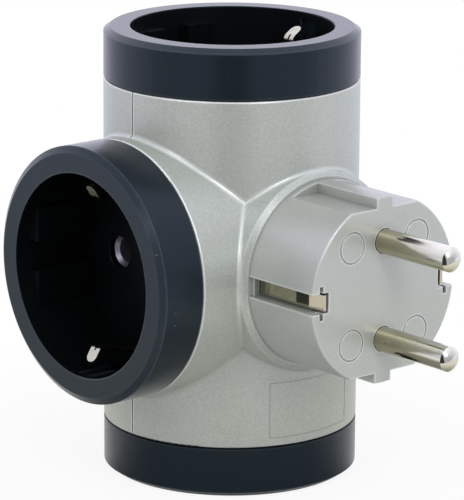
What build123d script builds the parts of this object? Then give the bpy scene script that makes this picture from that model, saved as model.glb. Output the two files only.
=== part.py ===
from build123d import *
import os

# A three-way mains adapter: an upright with a round socket at each end, a third socket on a side branch,
# and a plug with two round pins. Millimetres, +Z up, origin at the centre of the lower rim.
# The plug points along +X and the side socket along -Y, and the two half shells meet on the plane x = 0.

# Sockets, three alike: a round well, its dark collar and the cup that goes down into the shells
WELL_DIA = 39.6
WELL_DEPTH = 17.5
FLOOR = 2.5
CUP_WALL = 1.8
COLLAR_HEIGHT = 10.0
RIM_CHAMFER_WIDTH = 1.3
RIM_CHAMFER_HEIGHT = 0.9
RIM_INNER_ROUND = 0.25
COLLAR_FOOT_CHAMFER = 0.35
FLANGE_LIP = 1.1
FLANGE_THICK = 1.6
KEY_INSET = 3.0
KEY_GAP = 6.0
KEY_SPAN = 19.2
KEY_PLAY = 0.6
CLIP_RECESS_WIDTH = 4.4
CLIP_RECESS_DEPTH = 1.0
CLIP_RECESS_INSET = 1.3
PIN_HOLE_PLAY = 1.6
COUNTERSINK = 0.15

# Half shells of the silver body
SHELL_WALL = 2.2
RIB_HEIGHT = 3.0
BRANCH_SHOWING = 3.0
FLOOR_PAST_BRANCH = 1.2
CREASE_ROUND = 1.1
SHELL_EDGE_ROUND = 0.35
SEAM_WIDTH = 0.36
SEAM_DEPTH = 0.5
FIT = 0.1
ROUND_SHARE = 0.75

# Plug, moulded in one with the front shell
PLUG_DIA = 36.2
PLUG_LENGTH = 17.9
PLUG_FACE_ROUND = 0.35
STUB_RING = 1.4
STUB_STANDOUT = 1.2
STUB_DRAFT = 0.165
STUB_ROOT_ROUND = 0.6
RING_LAND = 0.4
RING_DROP = 0.9
STUB_WALL = 2.8
STUB_END_WALL = 2.0
FLAT_HEIGHT = 16.0
FLAT_LAND = 1.3
RIDGE_WIDTH = 4.0
PLUG_FACE_WALL = 6.1
PLUG_SIDE_WALL = 1.8
MARK_DIA = 6.2
MARK_LINE = 0.3
MARK_DEPTH = 0.2
MARK_Y = 8.2
MARK_Z = 9.4

# Plug pins, turned and nickel plated
PIN_DIA = 4.8
PIN_LENGTH = 19.0
PIN_PITCH = 19.0
PIN_COLLAR_DIA = 5.3
PIN_UNDERCUT = 0.25
PIN_UNDERCUT_INSET = 0.8
PIN_UNDERCUT_PROUD = 0.1
PIN_DOME = 1.1
PIN_MOUTH_PLAY = 0.1
PIN_FLANGE_DIA = 7.0
PIN_FLANGE_THICK = 1.0
RIVET_DIA = 3.0
RIVET_HEAD_DIA = 4.4
RIVET_HEAD_HEIGHT = 0.6

# Earth strip of the plug, one strip bent to a U, with an end in a groove on each side
EARTH_STRIP_WIDTH = 3.0
EARTH_STRIP_THICK = 0.6
EARTH_STRIP_FACE = 15.5
EARTH_STRIP_BEND = 0.8
EARTH_BOW_RISE = 0.25
EARTH_BOW_DROP = 0.15
EARTH_BOW_RUN = 3.4
EARTH_NOSE_LENGTH = 3.7
EARTH_NOSE_DROP = 0.3
GROOVE_PLAY = 0.45
GROOVE_STEP = 0.35
GROOVE_STEP_DEPTH = 1.0
STRIP_SLOT_PLAY = 0.2
NOSE_POCKET_PLAY = 0.6
CROSS_SLOT_Y = 15.8
CROSS_SLOT_HEIGHT = 6.5
CROSS_SLOT_WIDTH = 0.9
CROSS_SLOT_DEPTH = 1.6

# Earth clips of the sockets, each a strip bent to a U under a well's floor
CLIP_WIDTH = 2.6
CLIP_THICK = 0.8
CLIP_BEND = 1.2
CLIP_FOOT = 17.6
CLIP_FOOT_RISE = 5.0
CLIP_PINCH = 14.7
CLIP_PINCH_INSET = 4.5
CLIP_TIP = 17.5
CLIP_TIP_INSET = 2.7
CLIP_TIP_ROUND = 1.24
CLIP_SLIT = 0.45
CLIP_SLIT_INSET = 3.7
CLIP_BASE_WIDTH = 5.0
CLIP_BASE_SPAN = 30.0
CLIP_SLOT_PLAY = 0.3
STAKE_DIA = 2.0
STAKE_HEAD_DIA = 3.6
STAKE_HEAD_HEIGHT = 0.8
STAKE_PITCH = 22.0

# Live and neutral parts: split sleeves that take a pin, on a brass bar for each pole
SLEEVE_PLAY = 0.1
SLEEVE_WALL = 0.9
SLEEVE_SEAT = 1.4
SLEEVE_SLIT = 0.8
SLEEVE_SLIT_FOOT = 2.0
SLEEVE_SLIT_ANGLE = -70
SLEEVE_LEAD_IN = 0.7
SPIGOT_WALL = 0.35
SPIGOT_PROUD = 0.4
BAR_WIDTH = 6.6
BAR_THICK = 0.8
BAR_BEND = 1.0
BAR_WEB = 6.6
BAR_FLANGE_END = 3.4
ARM_HEIGHT = 4.9
ARM_Y = 5.4
RUNNING_PLAY = 0.05

# Earth strap, which joins the four earth parts
STRAP_WIDTH = 5.0
STRAP_THICK = 0.8
STRAP_BEND = 1.0
STRAP_Y = 2.0
STRAP_FOOT_END = 8.0
SIDE_TAB_BOTTOM = 3.0

# Case screws from the rear, and the pegs that line the halves up
SCREW_Y = 15.0
SCREW_Z = 14.0
SCREW_BOSS_DIA = 7.0
SCREW_DIA = 3.0
SCREW_CORE_DIA = 2.5
SCREW_HEAD_DIA = 5.6
SCREW_HEAD_HEIGHT = 2.0
SCREW_HEAD_ROUND = 0.8
SCREW_SEAT_X = 14.0
SCREW_BITE = 9.0
SCREW_PLAY = 0.1
CROSS_RECESS_WIDTH = 0.7
CROSS_RECESS_LENGTH = 3.0
CROSS_RECESS_DEPTH = 1.2
PEG_DIA = 3.0
PEG_LENGTH = 4.0
PEG_BOSS_DIA = 6.0
PEG_Z = 18.0
PEG_OFF_FLOOR = 4.8

# Radii and stations that follow from the sizes above, measured from the crossing of the axes
WELL_R = WELL_DIA / 2
CUP_R = WELL_R + CUP_WALL
SHELL_IN_R = CUP_R + FLANGE_LIP + FIT
BODY_R = SHELL_IN_R + SHELL_WALL
PLUG_R = PLUG_DIA / 2
STUB_R = PLUG_R + STUB_RING
PIN_R = PIN_DIA / 2
POLE = PIN_PITCH / 2
FLOOR_BACK = WELL_DEPTH + FLOOR
HALF_HEIGHT = FLOOR_BACK + SHELL_IN_R + FLOOR_PAST_BRANCH
SIDE_REACH = BODY_R + BRANCH_SHOWING + COLLAR_HEIGHT
SHELL_TOP = HALF_HEIGHT - COLLAR_HEIGHT
BRANCH_END = SIDE_REACH - COLLAR_HEIGHT
STUB_END = BODY_R + STUB_STANDOUT
STUB_SHOULDER = STUB_END - RING_DROP
STUB_BACK = STUB_END - STUB_END_WALL
FACE_X = STUB_END + PLUG_LENGTH
PIN_SEAT_X = FACE_X - PLUG_FACE_WALL
STRIP_INNER = EARTH_STRIP_FACE - EARTH_STRIP_THICK
NOSE_FLOOR = STRIP_INNER - EARTH_NOSE_DROP - NOSE_POCKET_PLAY
SLEEVE_R = PIN_R + SLEEVE_PLAY / 2
SLEEVE_OUT_R = SLEEVE_R + SLEEVE_WALL
SPIGOT_R = SLEEVE_R + SPIGOT_WALL
SLEEVE_TOP = WELL_DEPTH + SLEEVE_SEAT
SLEEVE_LENGTH = SIDE_REACH - SLEEVE_TOP - BAR_WEB - BAR_THICK / 2
BAR_TOP = HALF_HEIGHT - SLEEVE_TOP - SLEEVE_LENGTH
TAB_X = PIN_SEAT_X - PIN_FLANGE_THICK - BAR_THICK / 2
PEG_Y = SIDE_REACH - FLOOR_BACK - PEG_OFF_FLOOR

# A socket is modelled with its rim at z = 0, its well below, its pin holes along X and its clips along Y
SOCKET_PLACES = {
    "top": Pos(0, 0, HALF_HEIGHT),
    "bottom": Pos(0, 0, -HALF_HEIGHT) * Rot(180, 0, 0),
    "side": Pos(0, -SIDE_REACH, 0) * Rot(90, 0, 0),
}
ALONG_PLUG = Rot(0, 90, 0)
ALONG_BRANCH = Rot(90, 0, 0)


def rod(radius, start, end):
    """A cylinder on the Z axis between two heights."""
    on_start = (Align.CENTER, Align.CENTER, Align.MIN)
    return Pos(0, 0, start) * Cylinder(radius, end - start, align=on_start)


def block(x_range, y_range, z_range):
    """A box given by its limits along each axis."""
    ranges = (x_range, y_range, z_range)
    centre = [(low + high) / 2 for low, high in ranges]
    return Pos(*centre) * Box(*[high - low for low, high in ranges])


def folded_strip(points, bend, thick, width, plane):
    """Sheet metal whose centre line is folded through points of a plane, and as wide as width across it."""
    line = FilletPolyline(*points, radius=bend)
    return extrude(plane * trace(line, thick), width / 2, both=True)


def socket_insert():
    """Collar, rim, well and floor in one moulding, with a flange that the shells' rib traps."""
    flange_top = COLLAR_HEIGHT + RIB_HEIGHT + FIT
    flange_bottom = flange_top + FLANGE_THICK
    flange_r = SHELL_IN_R - FIT
    section = make_face(
        Polyline(
            (0, -WELL_DEPTH),
            (WELL_R, -WELL_DEPTH),
            (WELL_R, 0),
            (BODY_R - RIM_CHAMFER_WIDTH, 0),
            (BODY_R, -RIM_CHAMFER_HEIGHT),
            (BODY_R, COLLAR_FOOT_CHAMFER - COLLAR_HEIGHT),
            (BODY_R - COLLAR_FOOT_CHAMFER, -COLLAR_HEIGHT),
            (CUP_R, -COLLAR_HEIGHT),
            (CUP_R, -flange_top),
            (flange_r, -flange_top),
            (flange_r, -flange_bottom),
            (CUP_R, -flange_bottom),
            (CUP_R, -FLOOR_BACK),
            (0, -FLOOR_BACK),
            close=True,
        )
    )
    rim_corner = section.vertices().sort_by_distance((WELL_R, 0, 0))[0]
    insert = revolve(Plane.XZ * fillet(rim_corner, RIM_INNER_ROUND), Axis.Z)

    key_face = FLAT_HEIGHT + KEY_PLAY
    wall_middle = rod(WELL_R + CUP_WALL / 2, -FLOOR_BACK, -KEY_INSET)
    for x_side in (1, -1):
        for y_side in (1, -1):
            x_range = sorted((x_side * key_face, x_side * CUP_R))
            y_range = sorted((y_side * KEY_GAP / 2, y_side * KEY_SPAN / 2))
            insert += block(x_range, y_range, (-FLOOR_BACK, -KEY_INSET)) & wall_middle

    hole_r = (PIN_DIA + PIN_HOLE_PLAY) / 2
    for x_side in (1, -1):
        insert -= Pos(x_side * POLE, 0, 0) * (
            rod(hole_r, -FLOOR_BACK, -WELL_DEPTH)
            + rod(SLEEVE_OUT_R + RUNNING_PLAY, -FLOOR_BACK, -SLEEVE_TOP)
            + Pos(0, 0, -WELL_DEPTH - COUNTERSINK / 2) * Cone(hole_r, hole_r + COUNTERSINK, COUNTERSINK)
        )

    slot_half = CLIP_WIDTH / 2 + CLIP_SLOT_PLAY
    slot_inner = CLIP_FOOT - CLIP_THICK / 2 - CLIP_BEND
    slot_outer = CLIP_FOOT + CLIP_THICK / 2 + CLIP_SLOT_PLAY
    recess_half = CLIP_RECESS_WIDTH / 2
    for y_side in (1, -1):
        y_slot = sorted((y_side * slot_inner, y_side * slot_outer))
        insert -= block((-slot_half, slot_half), y_slot, (-FLOOR_BACK, -WELL_DEPTH))
        y_recess = sorted((y_side * CLIP_FOOT, y_side * (WELL_R + CLIP_RECESS_DEPTH)))
        insert -= block((-recess_half, recess_half), y_recess, (-WELL_DEPTH, -CLIP_RECESS_INSET))
        stake = rod(STAKE_DIA / 2, -FLOOR_BACK - CLIP_THICK, -FLOOR_BACK)
        head_top = -FLOOR_BACK - CLIP_THICK
        stake += rod(STAKE_HEAD_DIA / 2, head_top - STAKE_HEAD_HEIGHT, head_top)
        insert += Pos(0, y_side * STAKE_PITCH / 2, 0) * stake
    return insert


def earth_clip():
    """A socket's earth strip: flat under the floor, with a sprung tongue up through it on each side."""
    base_z = -FLOOR_BACK - CLIP_THICK / 2
    tongue = [
        (CLIP_FOOT, base_z),
        (CLIP_FOOT, CLIP_FOOT_RISE - FLOOR_BACK),
        (CLIP_PINCH, -CLIP_PINCH_INSET),
        (CLIP_TIP, -CLIP_TIP_INSET),
    ]
    far_tongue = [(-y, z) for y, z in reversed(tongue)]
    clip = folded_strip(far_tongue + tongue, CLIP_BEND, CLIP_THICK, CLIP_WIDTH, Plane.YZ)
    tip_corners = clip.edges().filter_by(lambda e: e.center().Z > -CLIP_TIP_INSET - CLIP_THICK)
    tip_corners = tip_corners.filter_by(lambda e: abs(abs(e.center().X) - CLIP_WIDTH / 2) < RUNNING_PLAY)
    tip_corners = tip_corners.filter_by(lambda e: e.length < CLIP_WIDTH / 2)
    clip = fillet(tip_corners, min(CLIP_TIP_ROUND, CLIP_WIDTH / 2 - RUNNING_PLAY))
    base = Pos(0, 0, base_z) * Box(CLIP_BASE_WIDTH, CLIP_BASE_SPAN, CLIP_THICK)
    clip += base
    slit_x = (-CLIP_SLIT / 2, CLIP_SLIT / 2)
    for y_side in (1, -1):
        slit_y = sorted((y_side * (CLIP_PINCH - CLIP_BEND), y_side * (CLIP_FOOT + CLIP_BEND)))
        clip -= block(slit_x, slit_y, (-WELL_DEPTH, -CLIP_SLIT_INSET))
        hole = rod(STAKE_DIA / 2 + RUNNING_PLAY, -FLOOR_BACK - 2 * CLIP_THICK, -FLOOR_BACK)
        clip -= Pos(0, y_side * STAKE_PITCH / 2, 0) * hole
    return clip


def contact_sleeve():
    """Sleeve that grips a pin between two leaves, with a spigot riveted into its bar."""
    foot = -SLEEVE_TOP - SLEEVE_LENGTH
    spigot_end = foot - BAR_THICK - SPIGOT_PROUD
    sleeve = rod(SLEEVE_OUT_R, foot, -SLEEVE_TOP) + rod(SPIGOT_R, spigot_end, foot)
    sleeve -= rod(SLEEVE_R, spigot_end, -SLEEVE_TOP)
    lead_in = Cone(SLEEVE_R, SLEEVE_R + SLEEVE_LEAD_IN, SLEEVE_LEAD_IN)
    sleeve -= Pos(0, 0, -SLEEVE_TOP - SLEEVE_LEAD_IN / 2) * lead_in
    slit_half = SLEEVE_SLIT / 2
    slit_reach = SLEEVE_OUT_R + FIT
    slit_z = (foot + SLEEVE_SLIT_FOOT, -SLEEVE_TOP)
    slit = block((-slit_reach, slit_reach), (-slit_half, slit_half), slit_z)
    return sleeve - Rot(0, 0, SLEEVE_SLIT_ANGLE) * slit


def busbar(pole_side):
    """Brass bar of one pole: a C that carries three sleeves, with an arm out to the plug pin."""
    centre_x = pole_side * POLE
    flange_z = BAR_TOP - BAR_THICK / 2
    arm_z = POLE - ARM_HEIGHT / 2
    outline = [
        (BAR_FLANGE_END, -flange_z),
        (-BAR_WEB, -flange_z),
        (-BAR_WEB, flange_z),
        (ARM_Y, flange_z),
        (ARM_Y, arm_z),
    ]
    outline = [(y, pole_side * z) for y, z in outline]
    bar = Pos(centre_x, 0, 0) * folded_strip(outline, BAR_BEND, BAR_THICK, BAR_WIDTH, Plane.YZ)
    arm_line = [
        (centre_x - BAR_WIDTH / 2, ARM_Y),
        (TAB_X, ARM_Y),
        (TAB_X, -BAR_WIDTH / 2),
    ]
    arm_plane = Plane.XY.offset(pole_side * POLE)
    bar += folded_strip(arm_line, BAR_BEND, BAR_THICK, ARM_HEIGHT, arm_plane)
    spigot_hole = SPIGOT_R + RUNNING_PLAY
    bar -= Pos(centre_x, 0, 0) * rod(spigot_hole, -BAR_TOP, BAR_TOP)
    bar -= Pos(centre_x, 0, 0) * ALONG_BRANCH * rod(spigot_hole, 0, BAR_WEB + BAR_THICK)
    rivet_hole = rod(RIVET_DIA / 2 + RUNNING_PLAY, TAB_X - BAR_THICK, TAB_X + BAR_THICK)
    return bar - Pos(0, 0, pole_side * POLE) * ALONG_PLUG * rivet_hole


def plug_pin():
    """Round pin along X: domed tip, a collar and flange in the plug's face, and a rivet through its bar."""
    tip_x = FACE_X + PIN_LENGTH
    tab_back = TAB_X - BAR_THICK / 2
    dome_x = tip_x - PIN_DOME
    outline = Polyline(
        (tip_x, 0),
        (tab_back - RIVET_HEAD_HEIGHT, 0),
        (tab_back - RIVET_HEAD_HEIGHT, RIVET_HEAD_DIA / 2),
        (tab_back, RIVET_HEAD_DIA / 2),
        (tab_back, RIVET_DIA / 2),
        (PIN_SEAT_X - PIN_FLANGE_THICK, RIVET_DIA / 2),
        (PIN_SEAT_X - PIN_FLANGE_THICK, PIN_FLANGE_DIA / 2),
        (PIN_SEAT_X, PIN_FLANGE_DIA / 2),
        (PIN_SEAT_X, PIN_COLLAR_DIA / 2),
        (FACE_X - PIN_UNDERCUT_INSET, PIN_COLLAR_DIA / 2),
        (FACE_X - PIN_UNDERCUT_INSET, PIN_R - PIN_UNDERCUT),
        (FACE_X + PIN_UNDERCUT_PROUD, PIN_R - PIN_UNDERCUT),
        (FACE_X + PIN_UNDERCUT_PROUD, PIN_R),
        (dome_x, PIN_R),
    )
    dome = TangentArc((tip_x, 0), (dome_x, PIN_R), tangent=(0, 1))
    return revolve(make_face(outline + dome), Axis.X)


def plug_earth_strip():
    """The plug's earth strip: across behind the plug's root, then forward, bowed, in the groove each side."""
    middle = EARTH_STRIP_FACE - EARTH_STRIP_THICK / 2
    back_x = STUB_BACK - EARTH_STRIP_THICK / 2
    nose_x = FACE_X - EARTH_NOSE_LENGTH
    crest = middle + EARTH_BOW_RISE
    half = [
        (back_x, middle),
        (nose_x - EARTH_BOW_RUN, crest),
        (nose_x, crest - EARTH_BOW_DROP),
        (FACE_X - RUNNING_PLAY, middle - EARTH_NOSE_DROP),
    ]
    far_half = [(x, -y) for x, y in reversed(half)]
    return folded_strip(far_half + half, EARTH_STRIP_BEND, EARTH_STRIP_THICK, EARTH_STRIP_WIDTH, Plane.XY)


def earth_strap():
    """Strap up the middle of the body, with a foot on each socket's clip and one on the plug's strip."""
    clip_back = HALF_HEIGHT - FLOOR_BACK - CLIP_THICK
    foot_z = clip_back - STRAP_THICK / 2
    upright = [
        (STRAP_FOOT_END, foot_z),
        (STRAP_Y, foot_z),
        (STRAP_Y, -foot_z),
        (STRAP_FOOT_END, -foot_z),
    ]
    strap = folded_strip(upright, STRAP_BEND, STRAP_THICK, STRAP_WIDTH, Plane.YZ)
    plug_foot_x = STUB_BACK - EARTH_STRIP_THICK - STRAP_THICK / 2
    plug_arm = [(0, STRAP_Y), (plug_foot_x, STRAP_Y), (plug_foot_x, STRAP_FOOT_END)]
    strap += folded_strip(plug_arm, STRAP_BEND, STRAP_THICK, STRAP_WIDTH, Plane.XY)
    tab_x = (STRAP_WIDTH - STRAP_THICK) / 2
    side_foot_y = SIDE_REACH - FLOOR_BACK - CLIP_THICK - STRAP_THICK / 2
    side_arm = [(tab_x, STRAP_Y), (tab_x, -side_foot_y), (-STRAP_WIDTH / 2, -side_foot_y)]
    tab_plane = Plane.XY.offset(SIDE_TAB_BOTTOM + STRAP_WIDTH / 2)
    return strap + folded_strip(side_arm, STRAP_BEND, STRAP_THICK, STRAP_WIDTH, tab_plane)


def half_body():
    """Outside of the front half of the upright and branch, solid, with the crease between them rounded."""
    span = 2 * (HALF_HEIGHT + SIDE_REACH)
    crossing = rod(BODY_R, -SHELL_TOP, SHELL_TOP) + ALONG_BRANCH * rod(BODY_R, 0, BRANCH_END)
    half = crossing & Pos(span / 2, 0, 0) * Box(span, span, span)
    half = fillet(half.edges().filter_by(GeomType.CIRCLE), SHELL_EDGE_ROUND)
    return fillet(half.edges().filter_by(GeomType.ELLIPSE), crease_round())


def crease_round():
    """The crease's radius, kept within the branch that shows."""
    return min(CREASE_ROUND, ROUND_SHARE * BRANCH_SHOWING)


def body_bore():
    """Inside of the upright and branch, with the rib at each end that traps a socket's flange."""
    bore = rod(SHELL_IN_R, RIB_HEIGHT - SHELL_TOP, SHELL_TOP - RIB_HEIGHT)
    bore += rod(CUP_R + FIT, -SHELL_TOP, SHELL_TOP)
    bore += ALONG_BRANCH * rod(SHELL_IN_R, 0, BRANCH_END - RIB_HEIGHT)
    return bore + ALONG_BRANCH * rod(CUP_R + FIT, 0, BRANCH_END)


def post(place, radius, end):
    """A post along X from the parting plane out to the middle of the body's wall."""
    wall_middle = SHELL_IN_R + SHELL_WALL / 2
    core = rod(wall_middle, -SHELL_TOP, SHELL_TOP) + ALONG_BRANCH * rod(wall_middle, 0, BRANCH_END)
    return place * rod(radius, min(0, end), max(0, end)) & core


def seam_groove():
    """Fine groove along the parting line, round the outline of the upright and branch."""
    past_end = COLLAR_HEIGHT / 2
    outline = Rectangle(2 * BODY_R, 2 * (SHELL_TOP + past_end))
    reach = BRANCH_END + past_end
    outline += Pos(-reach / 2, 0) * Rectangle(reach, 2 * BODY_R)
    corners = [outline.vertices().sort_by_distance((-BODY_R, z_side * BODY_R, 0))[0] for z_side in (1, -1)]
    outline = fillet(corners, crease_round())
    ring = outline - offset(outline, -SEAM_DEPTH)
    return extrude(Plane.YZ * ring, SEAM_WIDTH / 2, both=True)


def at_posts(y, z):
    """The two places, above and below the plug's axis, of a row of posts along X."""
    return [Pos(0, y, z_side * z) * ALONG_PLUG for z_side in (1, -1)]


def plug_outside():
    """Plug from its root to its face: round, with keyed flats above and below and a groove each side."""
    plug = ALONG_PLUG * rod(PLUG_R, STUB_BACK, FACE_X)
    face_edge = plug.edges().filter_by(GeomType.CIRCLE).sort_by(Axis.X)[-1]
    plug = fillet(face_edge, PLUG_FACE_ROUND)
    flat_x = (STUB_END + FLAT_LAND, FACE_X)
    groove_half = EARTH_STRIP_WIDTH / 2 + GROOVE_PLAY
    slot_half = CROSS_SLOT_HEIGHT / 2
    slot_inner = CROSS_SLOT_Y - CROSS_SLOT_WIDTH / 2
    for side in (1, -1):
        z_flat = sorted((side * FLAT_HEIGHT, side * PLUG_R))
        for y_side in (1, -1):
            plug -= block(flat_x, sorted((y_side * RIDGE_WIDTH / 2, y_side * PLUG_R)), z_flat)
        y_step = sorted((side * (PLUG_R - GROOVE_STEP_DEPTH), side * PLUG_R))
        plug -= block((STUB_END, FACE_X), y_step, (-groove_half, groove_half))
        y_groove = sorted((side * STRIP_INNER, side * PLUG_R))
        plug -= block((STUB_END + GROOVE_STEP, FACE_X), y_groove, (-groove_half, groove_half))
        y_pocket = sorted((side * NOSE_FLOOR, side * PLUG_R))
        nose_x = FACE_X - EARTH_NOSE_LENGTH - GROOVE_PLAY
        plug -= block((nose_x, FACE_X), y_pocket, (-groove_half, groove_half))
        y_slot = sorted((side * slot_inner, side * (slot_inner + CROSS_SLOT_WIDTH)))
        plug -= block((FACE_X - CROSS_SLOT_DEPTH, FACE_X), y_slot, (-slot_half, slot_half))
        for mark_z in (MARK_Z, -MARK_Z):
            mark = Pos(0, side * MARK_Y, mark_z) * ALONG_PLUG
            line = rod(MARK_DIA / 2, FACE_X - MARK_DEPTH, FACE_X)
            plug -= mark * (line - rod(MARK_DIA / 2 - MARK_LINE, FACE_X - MARK_DEPTH, FACE_X))
    return plug


def plug_bore():
    """Inside of the plug, with its pin holes and the slots where the earth strip comes out."""
    bore = ALONG_PLUG * rod(STUB_R - STUB_WALL, 0, STUB_BACK)
    cavity = ALONG_PLUG * rod(FLAT_HEIGHT - PLUG_SIDE_WALL, STUB_BACK, PIN_SEAT_X)
    cavity_half = NOSE_FLOOR - PLUG_SIDE_WALL
    bore += cavity & block((0, FACE_X), (-cavity_half, cavity_half), (-PLUG_R, PLUG_R))
    for place in at_posts(0, POLE):
        collar_end = FACE_X - PIN_UNDERCUT_INSET + RUNNING_PLAY
        bore += place * rod(PIN_COLLAR_DIA / 2 + RUNNING_PLAY, PIN_SEAT_X, collar_end)
        bore += place * rod(PIN_R + PIN_MOUTH_PLAY, PIN_SEAT_X, FACE_X)
    slot_half = EARTH_STRIP_WIDTH / 2 + STRIP_SLOT_PLAY
    slot_inner = STRIP_INNER - EARTH_STRIP_BEND - EARTH_STRIP_THICK
    for side in (1, -1):
        y_slot = sorted((side * slot_inner, side * (EARTH_STRIP_FACE + STRIP_SLOT_PLAY)))
        bore += block((STUB_BACK, STUB_END + GROOVE_STEP), y_slot, (-slot_half, slot_half))
    return bore


def stub_radius(x):
    """Radius of the stub's side at a station along X, with its draft."""
    return STUB_R + STUB_DRAFT * (STUB_SHOULDER - x)


def stub():
    """Solid stub that carries the plug, as far as the plug's root."""
    outline = [(0, 0), (0, stub_radius(0)), (STUB_END, stub_radius(STUB_END)), (STUB_END, 0)]
    return revolve(make_face(Polyline(*outline, close=True)), Axis.X)


def ring_slope():
    """What the sloped ring takes off the end of the stub, outside a narrow land round the plug."""
    land_r = PLUG_R + RING_LAND
    outer_r = STUB_R + STUB_ROOT_ROUND / 2
    slope = RING_DROP / (STUB_R - land_r)
    past_end = STUB_END + RING_LAND
    outline = [(STUB_END, land_r), (past_end, land_r), (past_end, outer_r)]
    outline.append((STUB_END - slope * (outer_r - land_r), outer_r))
    return revolve(make_face(Polyline(*outline, close=True)), Axis.X)


def at_stub_root(edge):
    """Whether an edge runs round the stub where it leaves the body, short of its end."""
    points = [edge.position_at(share) for share in (0, 0.25, 0.5, 0.75, 1)]
    on_stub = all(abs(Vector(0, p.Y, p.Z).length - stub_radius(p.X)) < RUNNING_PLAY for p in points)
    return on_stub and edge.geom_type != GeomType.LINE and max(p.X for p in points) < STUB_END - RUNNING_PLAY


def front_shell():
    """Half shell on the plug's side, with the plug, the screws' bosses and the pegs' sockets."""
    shell = half_body() + stub()
    root_round = min(STUB_ROOT_ROUND, ROUND_SHARE * STUB_STANDOUT)
    shell = fillet(shell.edges().filter_by(at_stub_root), root_round)
    shell -= ring_slope()
    shell += plug_outside()
    shell -= body_bore()
    shell -= plug_bore()
    for place in at_posts(SCREW_Y, SCREW_Z):
        shell += post(place, SCREW_BOSS_DIA / 2, BODY_R)
        shell -= place * rod(SCREW_CORE_DIA / 2 + RUNNING_PLAY, 0, SCREW_BITE + FIT)
    for place in at_posts(-PEG_Y, PEG_Z):
        shell += post(place, PEG_BOSS_DIA / 2, BODY_R)
        shell -= place * rod(PEG_DIA / 2 + RUNNING_PLAY, 0, PEG_LENGTH + FIT)
    return shell - seam_groove()


def rear_shell():
    """Half shell at the back, with counterbored bosses for the screws, and the pegs."""
    shell = Rot(0, 180, 0) * half_body() - body_bore()
    for place in at_posts(SCREW_Y, SCREW_Z):
        shell += post(place, SCREW_BOSS_DIA / 2, -BODY_R)
        shell -= place * rod(SCREW_DIA / 2 + SCREW_PLAY, -BODY_R, 0)
        shell -= place * rod(SCREW_HEAD_DIA / 2 + SCREW_PLAY, -BODY_R, -SCREW_SEAT_X)
    for place in at_posts(-PEG_Y, PEG_Z):
        shell += post(place, PEG_BOSS_DIA / 2, -BODY_R)
        shell += place * rod(PEG_DIA / 2, 0, PEG_LENGTH)
    return shell - seam_groove()


def case_screw():
    """Cross-recess screw along X, head at the back."""
    head_x = -SCREW_SEAT_X - SCREW_HEAD_HEIGHT
    head = rod(SCREW_HEAD_DIA / 2, head_x, -SCREW_SEAT_X)
    head_edge = head.edges().filter_by(GeomType.CIRCLE).sort_by(Axis.Z)[0]
    screw = fillet(head_edge, min(SCREW_HEAD_ROUND, ROUND_SHARE * SCREW_HEAD_HEIGHT))
    screw += rod(SCREW_DIA / 2, -SCREW_SEAT_X, 0) + rod(SCREW_CORE_DIA / 2, 0, SCREW_BITE)
    wing = Box(CROSS_RECESS_LENGTH, CROSS_RECESS_WIDTH, 2 * CROSS_RECESS_DEPTH)
    return screw - Pos(0, 0, head_x) * (wing + Rot(0, 0, 90) * wing)


parts = {
    "front_shell": front_shell(),
    "rear_shell": rear_shell(),
    "plug_earth_strip": plug_earth_strip(),
    "earth_strap": earth_strap(),
    "case_screws": Compound([place * case_screw() for place in at_posts(SCREW_Y, SCREW_Z)]),
}
for pole_side, pole in ((1, "live"), (-1, "neutral")):
    parts[f"{pole}_pin"] = Pos(0, 0, pole_side * POLE) * plug_pin()
    parts[f"{pole}_busbar"] = busbar(pole_side)
for side, place in SOCKET_PLACES.items():
    parts[f"socket_insert_{side}"] = place * socket_insert()
    parts[f"earth_clip_{side}"] = place * earth_clip()
    for pole_side, pole in ((1, "live"), (-1, "neutral")):
        parts[f"{pole}_sleeve_{side}"] = place * Pos(pole_side * POLE, 0, 0) * contact_sleeve()

os.makedirs("parts", exist_ok=True)
for name, shape in parts.items():
    export_step(Pos(0, 0, HALF_HEIGHT) * shape, f"parts/{name}.step")
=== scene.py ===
import math

import bpy
from mathutils import Matrix, Vector


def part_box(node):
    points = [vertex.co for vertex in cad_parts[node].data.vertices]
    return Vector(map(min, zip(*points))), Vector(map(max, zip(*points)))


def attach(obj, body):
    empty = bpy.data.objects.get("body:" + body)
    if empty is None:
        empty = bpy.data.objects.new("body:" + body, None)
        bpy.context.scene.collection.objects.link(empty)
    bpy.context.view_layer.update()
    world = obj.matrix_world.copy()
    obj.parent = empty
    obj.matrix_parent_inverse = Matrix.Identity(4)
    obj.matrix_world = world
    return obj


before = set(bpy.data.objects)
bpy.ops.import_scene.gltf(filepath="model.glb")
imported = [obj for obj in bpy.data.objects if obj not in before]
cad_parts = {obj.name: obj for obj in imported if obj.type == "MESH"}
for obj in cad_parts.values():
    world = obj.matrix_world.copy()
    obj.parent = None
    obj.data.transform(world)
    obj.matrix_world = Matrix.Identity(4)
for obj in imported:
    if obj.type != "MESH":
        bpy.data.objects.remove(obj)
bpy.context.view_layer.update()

# Half shells of the body, the front one with the plug. Injection-moulded ABS with aluminium flake in it:
# the body's mould is lightly eroded, so its satin skin glitters faintly, and the plug's is polished.
# They are screwed together from the rear, with a fine parting groove between them.
MM = 0.001
shell_low, shell_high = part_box("front_shell")
axis_height = (shell_low.z + shell_high.z) / 2
BODY_RADIUS = 25.0 * MM
PLUG_RADIUS = 18.1 * MM
PLUG_ROOT = 26.2 * MM
PLUG_ROOT_DEPTH = 2.0 * MM
BODY_DARK_FLAKE = "#AAAFA8"
BODY_LIGHT_FLAKE = "#BBC0B9"
PLUG_DARK_FLAKE = "#B2B6B1"
PLUG_LIGHT_FLAKE = "#BABEB9"
FLOW_MARKS = 22 * MM
SATIN_LOW = 0.29
SATIN_HIGH = 0.37

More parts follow.
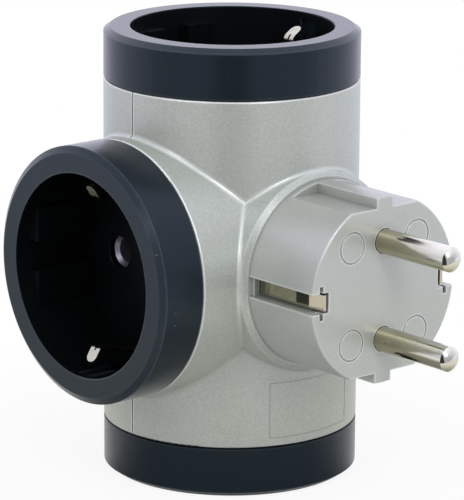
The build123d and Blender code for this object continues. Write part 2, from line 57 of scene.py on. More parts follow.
# Real flakes and the real grain are under 0.1 mm across: both are drawn coarser, so that they show
FLAKE = 0.2 * MM
GRAIN = 0.35 * MM
GRAIN_DEPTH = 0.03 * MM
BODY_GRAIN = 0.06
PLUG_GRAIN = 0.03

# The stub under the plug is a cone, whose radius is given where it would reach the upright's axis
STUB_CONE_RADIUS = 23.67 * MM
STUB_DRAFT = 0.165
CREASE_CORE = 0.3 * MM
CREASE_REACH = 0.9 * MM
CREASE_GLINT = "#E4E8E6"
GLINT_SHARE = 0.36
GLINT_START = -14.0 * MM
GLINT_FULL = -3.0 * MM

# Painted shade darkens hollows, and outer edges are paled as a painted highlight (on the lacquer also as
# wear), from one openness to the surroundings to another
HOLLOW_SHADE = "#4C514D"
CORNER_REACH = 3.0 * MM
CORNER_SAMPLES = 8
CORNER_OPENNESS = (0.85, 0.45)
CORNER_SHARE = 0.3
CREVICE_REACH = 0.5 * MM
CREVICE_SAMPLES = 6
CREVICE_OPENNESS = (0.55, 0.2)
CREVICE_SHARE = 0.7
EDGE_ROUND = 0.2 * MM
EDGE_ROUND_SAMPLES = 4
EDGE_REACH = 0.4 * MM
EDGE_SAMPLES = 6
EDGE_OPENNESS = (0.95, 0.6)
EDGE_SHARE = 0.8
EDGE_HIGHLIGHT = "#E4E8E6"
LIP_FADE = 0.3 * MM
LIP = 0.12 * MM
LIP_HIGHLIGHT = "#E4E7E5"


def linear(hex_colour):
    """Linear RGBA of an sRGB hex colour."""
    shares = [int(hex_colour[place:place + 2], 16) / 255 for place in (1, 3, 5)]
    return [s / 12.92 if s <= 0.04045 else ((s + 0.055) / 1.055) ** 2.4 for s in shares] + [1.0]


def start_finish(name):
    """A new material, with its node tree and its shader."""
    finish = bpy.data.materials.new(name)
    finish.use_nodes = True
    return finish, finish.node_tree, finish.node_tree.nodes["Principled BSDF"]


def add_node(tree, kind, settings, links):
    """Adds a node: settings are properties or unlinked inputs, links are inputs fed by another node."""
    node = tree.nodes.new("ShaderNode" + kind)
    for name, value in settings.items():
        if name in node.inputs.keys() or isinstance(name, int):
            node.inputs[name].default_value = value
        else:
            setattr(node, name, value)
    for name, source in links.items():
        tree.links.new(source, node.inputs[name])
    return node


def from_axis(tree, place, centre, across):
    """Distance from an axis that goes through centre, square to the across axes."""
    offset = add_node(tree, "VectorMath", {"operation": "SUBTRACT", 1: centre}, {0: place}).outputs["Vector"]
    spoke = add_node(tree, "VectorMath", {"operation": "MULTIPLY", 1: across}, {0: offset}).outputs["Vector"]
    return add_node(tree, "VectorMath", {"operation": "LENGTH"}, {0: spoke}).outputs["Value"]


def near_surface(tree, distance, radius):
    """1 inside a round surface and up to a crease's core above it, going to 0 at the crease's reach."""
    return add_node(
        tree,
        "MapRange",
        {"From Min": radius + CREASE_REACH, "From Max": radius + CREASE_CORE},
        {"Value": distance},
    ).outputs["Result"]


def painted_hollow_shade(tree, reach, samples, openness, most):
    """How much painted shade a hollow gets, from none at the first openness to most at the second."""
    open_share = add_node(tree, "AmbientOcclusion", {"samples": samples, "Distance": reach}, {}).outputs["AO"]
    return add_node(
        tree,
        "MapRange",
        {"From Min": openness[0], "From Max": openness[1], "To Max": most},
        {"Value": open_share},
    ).outputs["Result"]


def edge_highlight_and_wear(tree, reach, most):
    """How far a spot lies on an outer edge, up to most, paled as painted highlight and wear: near one, the
    solid's far side is within reach.
    """
    open_share = add_node(
        tree,
        "AmbientOcclusion",
        {"samples": EDGE_SAMPLES, "inside": True, "only_local": True, "Distance": reach},
        {},
    ).outputs["AO"]
    return add_node(
        tree,
        "MapRange",
        {"From Min": EDGE_OPENNESS[0], "From Max": EDGE_OPENNESS[1], "To Max": most},
        {"Value": open_share},
    ).outputs["Result"]


def dress(names, finish):
    """Gives a finish to each named piece of the construction."""
    for name in names:
        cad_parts[name].material_slots[0].material = finish


silver_abs, tree, shader = start_finish("silver_flake_abs")
place = add_node(tree, "TexCoord", {}, {}).outputs["Object"]
axes = add_node(tree, "SeparateXYZ", {}, {"Vector": place}).outputs
plug_radius = from_axis(tree, place, (0, 0, axis_height), (0, 1, 1))
plug_start = add_node(
    tree,
    "MapRange",
    {
        "From Min": PLUG_RADIUS,
        "From Max": PLUG_RADIUS + EDGE_ROUND,
        "To Min": PLUG_ROOT - PLUG_ROOT_DEPTH,
        "To Max": PLUG_ROOT + EDGE_ROUND,
    },
    {"Value": plug_radius},
).outputs["Result"]
on_plug = add_node(
    tree, "Math", {"operation": "GREATER_THAN"}, {0: axes["X"], 1: plug_start}
).outputs["Value"]
flakes = add_node(tree, "TexVoronoi", {"Scale": 1 / FLAKE}, {"Vector": place})
flake_tone = add_node(tree, "SeparateColor", {}, {"Color": flakes.outputs["Color"]}).outputs["Red"]
body_tone = add_node(
    tree,
    "Mix",
    {"data_type": "RGBA", 6: linear(BODY_DARK_FLAKE), 7: linear(BODY_LIGHT_FLAKE)},
    {0: flake_tone},
).outputs[2]
plug_tone = add_node(
    tree,
    "Mix",
    {"data_type": "RGBA", 6: linear(PLUG_DARK_FLAKE), 7: linear(PLUG_LIGHT_FLAKE)},
    {0: flake_tone},
).outputs[2]
silver_tone = add_node(
    tree, "Mix", {"data_type": "RGBA"}, {0: on_plug, 6: body_tone, 7: plug_tone}
).outputs[2]

# Painted highlight: the real creases are rounder than the solid's and mirror more light, so a pale glint
# lifts their tone here, from the plug's underside upwards. The branch is on one side only, at negative Y. The
# stub's cone isn't limited to the front, so the rear shell inside it is lifted too: that is a fault, and the
# real one is even.
near_upright = near_surface(tree, from_axis(tree, place, (0, 0, 0), (1, 1, 0)), BODY_RADIUS)
near_branch = near_surface(tree, from_axis(tree, place, (0, 0, axis_height), (1, 0, 1)), BODY_RADIUS)
branch_side = add_node(tree, "Math", {"operation": "LESS_THAN", 1: 0.0}, {0: axes["Y"]}).outputs["Value"]
near_branch = add_node(
    tree, "Math", {"operation": "MULTIPLY"}, {0: near_branch, 1: branch_side}
).outputs["Value"]
near_body = add_node(
    tree, "Math", {"operation": "MAXIMUM"}, {0: near_upright, 1: near_branch}
).outputs["Value"]
cone_radius = add_node(
    tree, "Math", {"operation": "MULTIPLY_ADD", 1: STUB_DRAFT}, {0: axes["X"], 2: plug_radius}
).outputs["Value"]
near_stub = near_surface(tree, cone_radius, STUB_CONE_RADIUS)
stub_crease = add_node(
    tree, "Math", {"operation": "MULTIPLY"}, {0: near_stub, 1: near_body}
).outputs["Value"]
branch_crease = add_node(
    tree, "Math", {"operation": "MULTIPLY"}, {0: near_upright, 1: near_branch}
).outputs["Value"]
crease = add_node(
    tree, "Math", {"operation": "MAXIMUM"}, {0: stub_crease, 1: branch_crease}
).outputs["Value"]
upper_side = add_node(
    tree,
    "MapRange",
    {
        "From Min": axis_height + GLINT_START,
        "From Max": axis_height + GLINT_FULL,
        "To Max": GLINT_SHARE,
    },
    {"Value": axes["Z"]},
).outputs["Result"]
glint = add_node(tree, "Math", {"operation": "MULTIPLY"}, {0: crease, 1: upper_side}).outputs["Value"]

# Painted highlight: a pale line where the shell ends meet the collars, for the light their end edges catch
branch_lip_highlight = add_node(
    tree,
    "MapRange",
    {"From Min": shell_low.y + LIP_FADE, "From Max": shell_low.y + LIP},
    {"Value": axes["Y"]},
).outputs["Result"]
top_lip_highlight = add_node(
    tree,
    "MapRange",
    {"From Min": shell_high.z - LIP_FADE, "From Max": shell_high.z - LIP},
    {"Value": axes["Z"]},
).outputs["Result"]
lip_highlight = add_node(tree, "Math", {"operation": "MAXIMUM"}, {0: branch_lip_highlight, 1: top_lip_highlight}).outputs["Value"]
# Painted shade: inner corners and crevices are drawn darker where they are closed in
corner_shade = painted_hollow_shade(tree, CORNER_REACH, CORNER_SAMPLES, CORNER_OPENNESS, CORNER_SHARE)
crevice_shade = painted_hollow_shade(tree, CREVICE_REACH, CREVICE_SAMPLES, CREVICE_OPENNESS, CREVICE_SHARE)
# Painted highlight: outer edges of the silver shells are drawn paler, as if they caught the light
edge = edge_highlight_and_wear(tree, EDGE_REACH, EDGE_SHARE)
for share, colour in (
    (glint, CREASE_GLINT),
    (corner_shade, HOLLOW_SHADE),
    (crevice_shade, HOLLOW_SHADE),
    (edge, EDGE_HIGHLIGHT),
    (lip_highlight, LIP_HIGHLIGHT),
):
    silver_tone = add_node(
        tree, "Mix", {"data_type": "RGBA", 7: linear(colour)}, {0: share, 6: silver_tone}
    ).outputs[2]
tree.links.new(silver_tone, shader.inputs["Base Color"])
flow = add_node(tree, "TexNoise", {"Scale": 1 / FLOW_MARKS, "Detail": 3.0}, {"Vector": place}).outputs["Fac"]
satin = add_node(
    tree, "MapRange", {"To Min": SATIN_LOW, "To Max": SATIN_HIGH}, {"Value": flow}
).outputs["Result"]
tree.links.new(satin, shader.inputs["Roughness"])
rounded = add_node(
    tree, "Bevel", {"samples": EDGE_ROUND_SAMPLES, "Radius": EDGE_ROUND}, {}
).outputs["Normal"]
grain = add_node(tree, "TexNoise", {"Scale": 1 / GRAIN, "Detail": 4.0}, {"Vector": place}).outputs["Fac"]
grain_strength = add_node(
    tree, "MapRange", {"To Min": BODY_GRAIN, "To Max": PLUG_GRAIN}, {"Value": on_plug}
).outputs["Result"]
skin = add_node(
    tree,
    "Bump",
    {"Distance": GRAIN_DEPTH},
    {"Strength": grain_strength, "Height": grain, "Normal": rounded},
).outputs["Normal"]
tree.links.new(skin, shader.inputs["Normal"])
shader.inputs["Metallic"].default_value = 0.35
dress(["front_shell", "rear_shell"], silver_abs)

# Mould insert for the rating field, below the plug: its joint with the mould left a hairline frame,
# a few hundredths of a millimetre proud of the same silver ABS. It is coloured darker than the body as
# painted shade along the hairline.
FRAME_HALF_ANGLE = math.radians(23.5)
FRAME_BOTTOM = 11.6 * MM
FRAME_TOP = 22.7 * MM
FRAME_LINE = 0.14 * MM
FRAME_RISE = 0.03 * MM
FRAME_STEPS = 360
FRAME_SHADE_DARK = "#969A93"
FRAME_SHADE_LIGHT = "#A1A59E"
JOINT_CLOUD = 1.5 * MM


def edit_mesh(piece, selected):
    """Opens a piece in edit mode with just the faces that selected accepts picked."""
    bpy.ops.object.select_all(action="DESELECT")
    piece.select_set(True)
    bpy.context.view_layer.objects.active = piece
    bpy.ops.object.mode_set(mode="EDIT")
    bpy.ops.mesh.select_mode(type="FACE")
    bpy.ops.mesh.select_all(action="DESELECT")
    bpy.ops.object.mode_set(mode="OBJECT")
    for face in piece.data.polygons:
        face.select = selected(face)
    bpy.ops.object.mode_set(mode="EDIT")


bpy.ops.object.select_all(action="DESELECT")
bpy.ops.mesh.primitive_cylinder_add(
    vertices=FRAME_STEPS,
    radius=shell_high.y,
    depth=FRAME_TOP - FRAME_BOTTOM,
    end_fill_type="NOTHING",
    location=(0, 0, (FRAME_BOTTOM + FRAME_TOP) / 2),
)
rating_frame = bpy.context.object
rating_frame.name = "rating_frame"
bpy.ops.object.transform_apply(location=True, rotation=True, scale=True)
edit_mesh(rating_frame, lambda face: abs(math.atan2(face.center.y, face.center.x)) > FRAME_HALF_ANGLE)
bpy.ops.mesh.delete(type="FACE")
bpy.ops.mesh.select_all(action="SELECT")
bpy.ops.mesh.inset(thickness=FRAME_LINE, depth=0)
bpy.ops.mesh.delete(type="FACE")
bpy.ops.mesh.select_all(action="SELECT")
bpy.ops.mesh.extrude_region_shrink_fatten(
    TRANSFORM_OT_shrink_fatten={"value": FRAME_RISE, "use_even_offset": True}
)
bpy.ops.object.mode_set(mode="OBJECT")
# Painted shade: the frame line is drawn a darker silver than the body
frame_shade_finish, tree, shader = start_finish("silver_abs_joint_painted_shade")
place = add_node(tree, "TexCoord", {}, {}).outputs["Object"]
cloud = add_node(
    tree, "TexNoise", {"Scale": 1 / JOINT_CLOUD, "Detail": 3.0}, {"Vector": place}
).outputs["Fac"]
tone = add_node(
    tree, "Mix", {"data_type": "RGBA", 6: linear(FRAME_SHADE_DARK), 7: linear(FRAME_SHADE_LIGHT)}, {0: cloud}
).outputs[2]
tree.links.new(tone, shader.inputs["Base Color"])
shader.inputs["Metallic"].default_value = 0.45
shader.inputs["Roughness"].default_value = 0.45
rating_frame.data.materials.append(frame_shade_finish)
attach(rating_frame, "root")

# Socket inserts: collar, rim, well and floor in one black ABS moulding each, held by a flange in the shells.
# The collar and rim are sprayed with an anthracite lacquer that stops inside the rim; the well is bare and
# black.
# A bare black band along the shells is painted shadow of the gap there, and the pale outer edges are partly
# thin lacquer and partly a painted highlight. Handling has left a few pale scuffs on the rim.
WELL_RADIUS = 19.8 * MM
LACQUER_EDGE = 0.05 * MM
SHELL_GAP_SHADE = 0.32 * MM
LACQUER = "#121B21"
LACQUER_PALE = "#182229"
LACQUER_GLAZE = "#DDEFFF"
LACQUER_ROUGHNESS = 0.27
LACQUER_MIRROR = 0.28
LACQUER_DUST = 0.34
BARE_ABS = "#06090A"
BARE_EDGE_HIGHLIGHT = "#0D1011"
BARE_ROUGHNESS = 0.42
BARE_MIRROR = 0.13
BARE_DUST = 0.0
CHAMFER_PALE = "#20282F"
CHAMFER_LEAN = 0.57
CHAMFER_SPREAD = 0.3
THIN_LACQUER_AND_HIGHLIGHT = "#59616C"
EDGE_WEAR_AND_HIGHLIGHT_SHARE = 0.6
SCUFF = "#969CA5"
SCUFF_SIZE = 1.1 * MM
SCUFF_START = 0.68
SCUFF_FULL = 0.76
EDGE_SCUFFING = 0.13

# The droplets of the real spray are finer: they are drawn this coarse so that they show
SPRAY_GRAIN = 0.45 * MM
SPRAY_DEPTH = 0.04 * MM


def socket_finish(name, across, along, shell_end):
    """Lacquered collar round a bare well: the axes across and along it, and where the shells end on it."""
    finish, tree, shader = start_finish(name)
    place = add_node(tree, "TexCoord", {}, {}).outputs["Object"]
    centre = (0, 0, axis_height)
    outside_well = add_node(
        tree,
        "MapRange",
        {"From Min": WELL_RADIUS + LACQUER_EDGE, "From Max": WELL_RADIUS + 2 * LACQUER_EDGE},
        {"Value": from_axis(tree, place, centre, across)},
    ).outputs["Result"]
    # Painted shadow: along the shells the collar is left bare and black, for the shade in the gap there
    outside_gap_shadow = add_node(
        tree,
        "MapRange",
        {"From Min": shell_end + SHELL_GAP_SHADE, "From Max": shell_end + SHELL_GAP_SHADE + LACQUER_EDGE},
        {"Value": from_axis(tree, place, centre, along)},
    ).outputs["Result"]
    sprayed_outside_gap_shadow = add_node(
        tree, "Math", {"operation": "MINIMUM"}, {0: outside_well, 1: outside_gap_shadow}
    ).outputs["Value"]
    spray = add_node(
        tree, "TexNoise", {"Scale": 1 / SPRAY_GRAIN, "Detail": 3.0}, {"Vector": place}
    ).outputs["Fac"]
    scuffs = add_node(
        tree, "TexNoise", {"Scale": 1 / SCUFF_SIZE, "Detail": 6.0, "Roughness": 0.75}, {"Vector": place}
    ).outputs["Fac"]
    # On the lacquer the pale outer edges are partly thin lacquer and partly a painted highlight; in the bare
    # well, a painted highlight
    edge = edge_highlight_and_wear(tree, EDGE_REACH, EDGE_WEAR_AND_HIGHLIGHT_SHARE)
    wear = add_node(
        tree, "Math", {"operation": "MULTIPLY_ADD", 1: EDGE_SCUFFING}, {0: edge, 2: scuffs}
    ).outputs["Value"]
    scuffed = add_node(
        tree, "MapRange", {"From Min": SCUFF_START, "From Max": SCUFF_FULL}, {"Value": wear}
    ).outputs["Result"]
    facing = add_node(tree, "NewGeometry", {}, {}).outputs["True Normal"]
    lean = from_axis(tree, facing, (0, 0, 0), across)
    chamfer = add_node(
        tree, "Math", {"operation": "COMPARE", 1: CHAMFER_LEAN, 2: CHAMFER_SPREAD}, {0: lean}
    ).outputs["Value"]
    lacquer = add_node(
        tree, "Mix", {"data_type": "RGBA", 6: linear(LACQUER), 7: linear(LACQUER_PALE)}, {0: spray}
    ).outputs[2]
    for share, colour in ((chamfer, CHAMFER_PALE), (edge, THIN_LACQUER_AND_HIGHLIGHT), (scuffed, SCUFF)):
        lacquer = add_node(
            tree, "Mix", {"data_type": "RGBA", 7: linear(colour)}, {0: share, 6: lacquer}
        ).outputs[2]
    bare = add_node(
        tree, "Mix", {"data_type": "RGBA", 6: linear(BARE_ABS), 7: linear(BARE_EDGE_HIGHLIGHT)}, {0: edge}
    ).outputs[2]
    tone = add_node(tree, "Mix", {"data_type": "RGBA"}, {0: sprayed_outside_gap_shadow, 6: bare, 7: lacquer}).outputs[2]
    tree.links.new(tone, shader.inputs["Base Color"])
    for socket, bare_level, lacquer_level in (
        ("Roughness", BARE_ROUGHNESS, LACQUER_ROUGHNESS),
        ("Specular IOR Level", BARE_MIRROR, LACQUER_MIRROR),
        ("Sheen Weight", BARE_DUST, LACQUER_DUST),
    ):
        level = add_node(
            tree, "MapRange", {"To Min": bare_level, "To Max": lacquer_level}, {"Value": sprayed_outside_gap_shadow}
        ).outputs["Result"]
        tree.links.new(level, shader.inputs[socket])
    shader.inputs["Sheen Roughness"].default_value = 0.3
    shader.inputs["Specular Tint"].default_value = linear(LACQUER_GLAZE)
    skin = add_node(
        tree, "Bump", {"Strength": 0.14, "Distance": SPRAY_DEPTH}, {"Height": spray}
    ).outputs["Normal"]
    tree.links.new(skin, shader.inputs["Normal"])
    return finish


upright_shell_end = shell_high.z - axis_height
upright_finish = socket_finish("anthracite_lacquer_on_abs", (1, 1, 0), (0, 0, 1), upright_shell_end)
dress(["socket_insert_top", "socket_insert_bottom"], upright_finish)
branch_finish = socket_finish("anthracite_lacquer_on_abs_branch", (1, 0, 1), (0, 1, 0), -shell_low.y)
dress(["socket_insert_side"], branch_finish)

# Plug pins: drawn brass rod with a turned end, nickel plated, riveted to the bus bars behind the plug's face.
# The plating has clouded near the face, and wall sockets have rubbed it bright towards the tips,
# with faint scratches along the pin. The bright tone stays off the undersides, which makes it partly a
# painted highlight on top.
CLOUD = 2.5 * MM
PIN_CLOUDED = "#C2BCA2"
PIN_OLIVE = "#B5AE92"
PIN_ROUGHNESS = (0.08, 0.17)
PIN_RUBBED_AND_LIT = "#DCDBCA"
PIN_RUB_START = 50 * MM
PIN_RUB_END = 60 * MM

# Real scratches are hair fine: they are drawn this wide so that they show
SCRATCH_WIDTH = 0.5 * MM
SCRATCH_LENGTH = 4 * MM
SCRATCH_DEPTH = 0.02 * MM

# Painted highlight: how far a face looks up where the bright tone starts, and where it is full; undersides
# stay dull
TOP_LIT_LOWEST = -0.8
TOP_LIT_FULL = -0.2


def metal_finish(name, bright, dull, roughness):
    """Plated or bare metal, clouded from one roughness to another, with scratches along the plug's axis."""
    finish, tree, shader = start_finish(name)
    place = add_node(tree, "TexCoord", {}, {}).outputs["Object"]
    cloud = add_node(tree, "TexNoise", {"Scale": 1 / CLOUD, "Detail": 4.0}, {"Vector": place}).outputs["Fac"]
    tone = add_node(
        tree, "Mix", {"data_type": "RGBA", 6: linear(bright), 7: linear(dull)}, {0: cloud}
    ).outputs[2]
    tree.links.new(tone, shader.inputs["Base Color"])
    polish = add_node(
        tree, "MapRange", {"To Min": roughness[0], "To Max": roughness[1]}, {"Value": cloud}
    ).outputs["Result"]
    tree.links.new(polish, shader.inputs["Roughness"])
    scratch_scale = (1 / SCRATCH_LENGTH, 1 / SCRATCH_WIDTH, 1 / SCRATCH_WIDTH)
    drawn_out = add_node(
        tree, "VectorMath", {"operation": "MULTIPLY", 1: scratch_scale}, {0: place}
    ).outputs["Vector"]
    scratches = add_node(
        tree, "TexNoise", {"Scale": 1.0, "Detail": 3.0}, {"Vector": drawn_out}
    ).outputs["Fac"]
    skin = add_node(
        tree, "Bump", {"Strength": 0.05, "Distance": SCRATCH_DEPTH}, {"Height": scratches}
    ).outputs["Normal"]
    tree.links.new(skin, shader.inputs["Normal"])
    shader.inputs["Metallic"].default_value = 1.0
    return finish


def rub_and_top_highlight(finish, bright, start, end):
    """Goes over to a brighter tone between two places along the plug, on all but the underside: rubbed
    towards the tips, and lighter on top as a painted highlight.
    """
    tree = finish.node_tree
    base = tree.nodes["Principled BSDF"].inputs["Base Color"]
    tone = base.links[0].from_socket
    place = add_node(tree, "TexCoord", {}, {}).outputs["Object"]
    along = add_node(tree, "SeparateXYZ", {}, {"Vector": place}).outputs["X"]
    facing = add_node(tree, "NewGeometry", {}, {}).outputs["True Normal"]
    upward = add_node(tree, "SeparateXYZ", {}, {"Vector": facing}).outputs["Z"]
    # Painted highlight: faces that look down keep the dull tone
    top_lit = add_node(
        tree, "MapRange", {"From Min": TOP_LIT_LOWEST, "From Max": TOP_LIT_FULL}, {"Value": upward}
    ).outputs["Result"]
    rubbed_and_top_lit = add_node(
        tree, "MapRange", {"From Min": start, "From Max": end}, {"Value": along, "To Max": top_lit}
    ).outputs["Result"]
    tone = add_node(tree, "Mix", {"data_type": "RGBA", 7: linear(bright)}, {0: rubbed_and_top_lit, 6: tone}).outputs[2]
    tree.links.new(tone, base)


pin_nickel = metal_finish("nickel_plated_brass_rod", PIN_CLOUDED, PIN_OLIVE, PIN_ROUGHNESS)
rub_and_top_highlight(pin_nickel, PIN_RUBBED_AND_LIT, PIN_RUB_START, PIN_RUB_END)
dress(["live_pin", "neutral_pin"], pin_nickel)

# Earth strip of the plug: stamped from brass sheet, nickel plated and bent to a U behind the plug's root.
# Rolled sheet stays smooth, so it mirrors what lies beside it; the noses are rubbed by socket clips,
# and their bright tone stays off the undersides, partly a painted highlight on top.
STRIP_NICKEL = "#C6C1AB"
STRIP_DULL = "#A7A187"
STRIP_ROUGHNESS = (0.08, 0.16)
STRIP_RUBBED_AND_LIT = "#C6BEA8"
STRIP_RUB_START = 39 * MM
STRIP_RUB_END = 40.5 * MM
strip_nickel = metal_finish("stamped_nickel_plated_brass", STRIP_NICKEL, STRIP_DULL, STRIP_ROUGHNESS)
rub_and_top_highlight(strip_nickel, STRIP_RUBBED_AND_LIT, STRIP_RUB_START, STRIP_RUB_END)
dress(["plug_earth_strip"], strip_nickel)

# Earth clips of the sockets: spring bronze strip, stamped, slit and bent, then plated in bright white nickel.
# They are staked under the wells' floors, and plugs have rubbed the tongues.
CLIP_NICKEL = "#D0CFBC"
CLIP_DULL = "#AFAE98"
CLIP_ROUGHNESS = (0.14, 0.26)
sockets = ("top", "bottom", "side")
clip_nickel = metal_finish("bright_nickel_plated_bronze", CLIP_NICKEL, CLIP_DULL, CLIP_ROUGHNESS)
dress([f"earth_clip_{socket}" for socket in sockets], clip_nickel)

# Contact sleeves: split tubes rolled from brass and dull tin plated, riveted to the bus bars.
# Matt tin is a flat grey with a lilac cast.
TIN = "#B4B0BC"
TIN_DULL = "#97939F"
TIN_ROUGHNESS = (0.4, 0.55)
matt_tin = metal_finish("matt_tin_plated_brass", TIN, TIN_DULL, TIN_ROUGHNESS)
dress([f"{pole}_sleeve_{socket}" for pole in ("live", "neutral") for socket in sockets], matt_tin)

# Inner current paths: bus bars and earth strap, stamped and folded from bare brass sheet,
# riveted to the sleeves and pins. They lie inside the closed shells.
BRASS = "#C9A565"
BRASS_TARNISH = "#A9834A"
BRASS_ROUGHNESS = (0.24, 0.4)
bare_brass = metal_finish("stamped_bare_brass", BRASS, BRASS_TARNISH, BRASS_ROUGHNESS)
dress(["live_busbar", "neutral_busbar", "earth_strap"], bare_brass)

# Case screws: two cross-recess steel screws, zinc plated, driven from the rear into the front shell's bosses.
# Passivated zinc is a cool grey with a little dullness from handling.
ZINC = "#B9BEC4"
ZINC_DULL = "#979CA3"
ZINC_ROUGHNESS = (0.28, 0.42)
zinc_steel = metal_finish("zinc_plated_steel_screw", ZINC, ZINC_DULL, ZINC_ROUGHNESS)
dress(["case_screws"], zinc_steel)

# Camera: at the photograph's angle, with a long lens, aimed a little below the plug's axis.
# Its place and lens were worked out from the pins' standard sizes and the round rims.
VIEW_AZIMUTH = math.radians(49.19)
VIEW_ELEVATION = math.radians(14.48)
VIEW_ROLL = math.radians(0.38)
VIEW_DISTANCE = 708.98 * MM
VIEW_AIM = Vector((0, 0, 43 * MM))
VIEW_OFFSET = (0.227 * MM, -0.039 * MM)
LENS = 259.37


def direction(azimuth, elevation):
    """Unit vector from the object towards an azimuth, 0 looking along +Y, and an elevation."""
    level = math.cos(elevation)
    return Vector((math.sin(azimuth) * level, -math.cos(azimuth) * level, math.sin(elevation)))


back = direction(VIEW_AZIMUTH, VIEW_ELEVATION)
level_right = Vector((math.cos(VIEW_AZIMUTH), math.sin(VIEW_AZIMUTH), 0))
level_up = back.cross(level_right)
right = math.cos(VIEW_ROLL) * level_right + math.sin(VIEW_ROLL) * level_up
up = back.cross(right)
stand = VIEW_AIM + VIEW_OFFSET[0] * right + VIEW_OFFSET[1] * up + VIEW_DISTANCE * back
camera = bpy.data.objects.new("photo_camera", bpy.data.cameras.new("photo_camera"))
bpy.context.scene.collection.objects.link(camera)
camera.matrix_world = Matrix.Translation(stand) @ Matrix((right, up, back)).transposed().to_4x4()
camera.data.lens = LENS
camera.data.clip_start = 10 * MM
bpy.context.scene.camera = camera

# Floor: a pale paper sweep that the adapter stands on, which keeps its soft shadow. It ends a little in front
# of the object, and away from it the camera sees the white of the backdrop. To shiny pieces the paper glows
# as a painted reflection: neutral with painted shade close by, brighter and faintly lilac far off.
FLOOR_SIZE = 6.0
FLOOR_FRONT = 0.11
SHADOW_REACH = 0.05
SHADOW_FADE = 0.1
SHADOW_KEPT = 0.88
SHADE = 0.68
SHADE_SPREAD = 0.5
PAPER = "#F0F0F0"
PLAIN_WHITE = "#FFFFFF"
WHITE_LEVEL = 1.0
PAPER_NEAR = "#EDEDE8"
TENT = "#E7E6FB"
LIT_NEAR = 1.02
LIT_FAR = 1.32
LIT_START = 0.1
LIT_END = 0.34
front = direction(VIEW_AZIMUTH, 0)
bpy.ops.object.select_all(action="DESELECT")
bpy.ops.mesh.primitive_plane_add(
    size=FLOOR_SIZE, location=front * (FLOOR_FRONT - FLOOR_SIZE / 2), rotation=(0, 0, VIEW_AZIMUTH)
)
floor = bpy.context.object
floor.name = "studio_floor"
bpy.ops.object.transform_apply(location=True, rotation=True, scale=True)
paper, tree, shader = start_finish("white_paper_sweep")
shader.inputs["Roughness"].default_value = 0.9
shader.inputs["Specular IOR Level"].default_value = 0.0
rays = add_node(tree, "LightPath", {}, {}).outputs
paper_tone = add_node(
    tree,
    "Mix",
    {"data_type": "RGBA", 6: linear(PAPER), 7: linear(PLAIN_WHITE)},
    {0: rays["Is Camera Ray"]},
).outputs[2]
tree.links.new(paper_tone, shader.inputs["Base Color"])
place = add_node(tree, "TexCoord", {}, {}).outputs["Object"]
from_object = add_node(tree, "VectorMath", {"operation": "LENGTH"}, {0: place}).outputs["Value"]
seen_share = add_node(
    tree,
    "MapRange",
    {"From Min": SHADOW_REACH, "From Max": SHADOW_FADE, "To Min": SHADOW_KEPT},
    {"Value": from_object},
).outputs["Result"]
backdrop_share = add_node(
    tree,
    "Math",
    {"operation": "MULTIPLY_ADD"},
    {0: rays["Is Camera Ray"], 1: seen_share, 2: rays["Is Glossy Ray"]},
).outputs["Value"]
bearing = add_node(tree, "VectorMath", {"operation": "NORMALIZE"}, {0: place}).outputs["Vector"]
towards_view = add_node(
    tree, "VectorMath", {"operation": "DOT_PRODUCT", 1: front}, {0: bearing}
).outputs["Value"]
in_front = add_node(tree, "MapRange", {"From Max": SHADE_SPREAD}, {"Value": towards_view}).outputs["Result"]
near = add_node(
    tree,
    "MapRange",
    {"From Min": SHADOW_REACH, "From Max": SHADOW_FADE, "To Min": SHADE, "To Max": 0.0},
    {"Value": from_object},
).outputs["Result"]
shade = add_node(tree, "Math", {"operation": "MULTIPLY"}, {0: in_front, 1: near}).outputs["Value"]
far_share = add_node(
    tree, "MapRange", {"From Min": LIT_START, "From Max": LIT_END}, {"Value": from_object}
).outputs["Result"]
lit = add_node(tree, "Mix", {2: LIT_NEAR, 3: LIT_FAR}, {0: far_share}).outputs[0]
paper_cast = add_node(
    tree, "Mix", {"data_type": "RGBA", 6: linear(PAPER_NEAR), 7: linear(TENT)}, {0: far_share}
).outputs[2]
mirrored_paper = add_node(tree, "Math", {"operation": "SUBTRACT"}, {0: lit, 1: shade}).outputs["Value"]
paper_level = add_node(
    tree, "Mix", {3: WHITE_LEVEL}, {0: rays["Is Camera Ray"], 2: mirrored_paper}
).outputs[0]
paper_tint = add_node(
    tree, "Mix", {"data_type": "RGBA", 6: linear(PLAIN_WHITE)}, {0: rays["Is Glossy Ray"], 7: paper_cast}
).outputs[2]
# Painted reflection: shiny pieces see the paper as a glow, with painted shade near the object
glow = add_node(tree, "Emission", {}, {"Color": paper_tint, "Strength": paper_level}).outputs["Emission"]
sweep = add_node(
    tree, "MixShader", {}, {0: backdrop_share, 1: shader.outputs["BSDF"], 2: glow}
).outputs["Shader"]
tree.links.new(sweep, tree.nodes["Material Output"].inputs["Surface"])
floor.data.materials.append(paper)

# Light: three soft boxes, a bright one past the plug, a weaker one past the side socket and a faint one
# above. A level of 1 is the light that shows a colour as it is written.
LIGHT_DISTANCE = 0.8


def soft_box(name, azimuth, elevation, width, height, level):
    """Lamp aimed at the object, as bright there as level says."""
    towards = direction(math.radians(azimuth), math.radians(elevation))
    lamp = bpy.data.lights.new(name, "AREA")
    lamp.shape = "RECTANGLE"
    lamp.size = width
    lamp.size_y = height
    lamp.energy = level * (math.pi * LIGHT_DISTANCE) ** 2
    box = bpy.data.objects.new(name, lamp)
    box.matrix_world = Matrix.Translation(VIEW_AIM + towards * LIGHT_DISTANCE) @ (
        towards.to_track_quat("Z", "Y").to_matrix().to_4x4()
    )
    bpy.context.scene.collection.objects.link(box)


soft_box("plug_side_light", azimuth=79, elevation=29, width=0.18, height=0.32, level=0.235)
soft_box("socket_side_light", azimuth=15, elevation=29, width=0.15, height=0.28, level=0.115)
soft_box("overhead_light", azimuth=37, elevation=56, width=0.22, height=0.26, level=0.07)

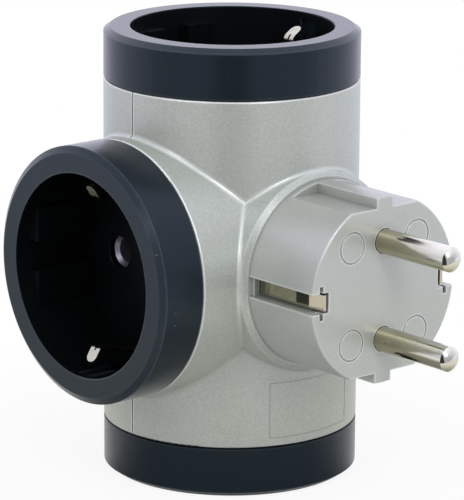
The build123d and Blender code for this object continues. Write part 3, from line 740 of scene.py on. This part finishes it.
# World: a white tent round the object, open in a tall triangle on the side it is looked at from. Its cloth is
# faintly lilac and lit from above and behind. Shiny surfaces mirror the opening as a dark patch,
# and the camera sees plain white behind the object.
TENT_LOW = 1.05
TENT_TOP = 0.53
TENT_SPREAD_START = -0.4
TENT_BRIGHT = 1.6
TENT_DIM = 0.7
TENT_TILT = 0.75
TENT_DIM_END = -0.5
TENT_BRIGHT_END = 1.1
GLOW = 0.45
GLOW_AZIMUTH = math.radians(75)
GLOW_ELEVATION = math.radians(52)
GLOW_SPREAD = math.radians(55)
OPENING_LEVEL = 0.04
OPENING_TOP = 0.75
OPENING_SLOPE = 4.0
OPENING_EDGE = 0.12
world = bpy.data.worlds.new("white_tent")
bpy.context.scene.world = world
world.use_nodes = True
tree = world.node_tree
backdrop = tree.nodes["Background"]
rays = add_node(tree, "LightPath", {}, {}).outputs
gaze = add_node(tree, "TexCoord", {}, {}).outputs["Generated"]
below_top = add_node(
    tree, "VectorMath", {"operation": "DOT_PRODUCT", 1: OPENING_TOP * back - up}, {0: gaze}
).outputs["Value"]
aside = add_node(
    tree, "VectorMath", {"operation": "DOT_PRODUCT", 1: OPENING_SLOPE * right}, {0: gaze}
).outputs["Value"]
aside = add_node(tree, "Math", {"operation": "ABSOLUTE"}, {0: aside}).outputs["Value"]
inside = add_node(tree, "Math", {"operation": "SUBTRACT"}, {0: below_top, 1: aside}).outputs["Value"]
above_behind = add_node(
    tree, "VectorMath", {"operation": "DOT_PRODUCT", 1: TENT_TILT * Vector((0, 0, 1)) - front}, {0: gaze}
).outputs["Value"]
cloth = add_node(
    tree,
    "MapRange",
    {
        "From Min": TENT_DIM_END,
        "From Max": TENT_BRIGHT_END,
        "To Min": TENT_DIM,
        "To Max": TENT_BRIGHT,
    },
    {"Value": above_behind},
).outputs["Result"]
lamp_side = direction(GLOW_AZIMUTH, GLOW_ELEVATION)
near_lamp = add_node(
    tree, "VectorMath", {"operation": "DOT_PRODUCT", 1: lamp_side}, {0: gaze}
).outputs["Value"]
glow = add_node(
    tree,
    "MapRange",
    {"interpolation_type": "SMOOTHSTEP", "From Min": math.cos(GLOW_SPREAD), "To Max": GLOW},
    {"Value": near_lamp},
).outputs["Result"]
cloth = add_node(tree, "Math", {"operation": "ADD"}, {0: cloth, 1: glow}).outputs["Value"]
mirrored = add_node(
    tree, "MapRange", {"From Max": OPENING_EDGE, "To Max": OPENING_LEVEL}, {"Value": inside, "To Min": cloth}
).outputs["Result"]
height = add_node(tree, "SeparateXYZ", {}, {"Vector": gaze}).outputs["Z"]
even = add_node(
    tree,
    "MapRange",
    {"From Min": TENT_SPREAD_START, "To Min": TENT_LOW, "To Max": TENT_TOP},
    {"Value": height},
).outputs["Result"]
lighting = add_node(tree, "Mix", {}, {0: rays["Is Glossy Ray"], 2: even, 3: mirrored}).outputs[0]
strength = add_node(tree, "Mix", {3: WHITE_LEVEL}, {0: rays["Is Camera Ray"], 2: lighting}).outputs[0]
tree.links.new(strength, backdrop.inputs["Strength"])
tent_tone = add_node(
    tree,
    "Mix",
    {"data_type": "RGBA", 6: linear(PLAIN_WHITE), 7: linear(TENT)},
    {0: rays["Is Glossy Ray"]},
).outputs[2]
tree.links.new(tent_tone, backdrop.inputs["Color"])

bpy.context.scene.view_settings.view_transform = "Standard"
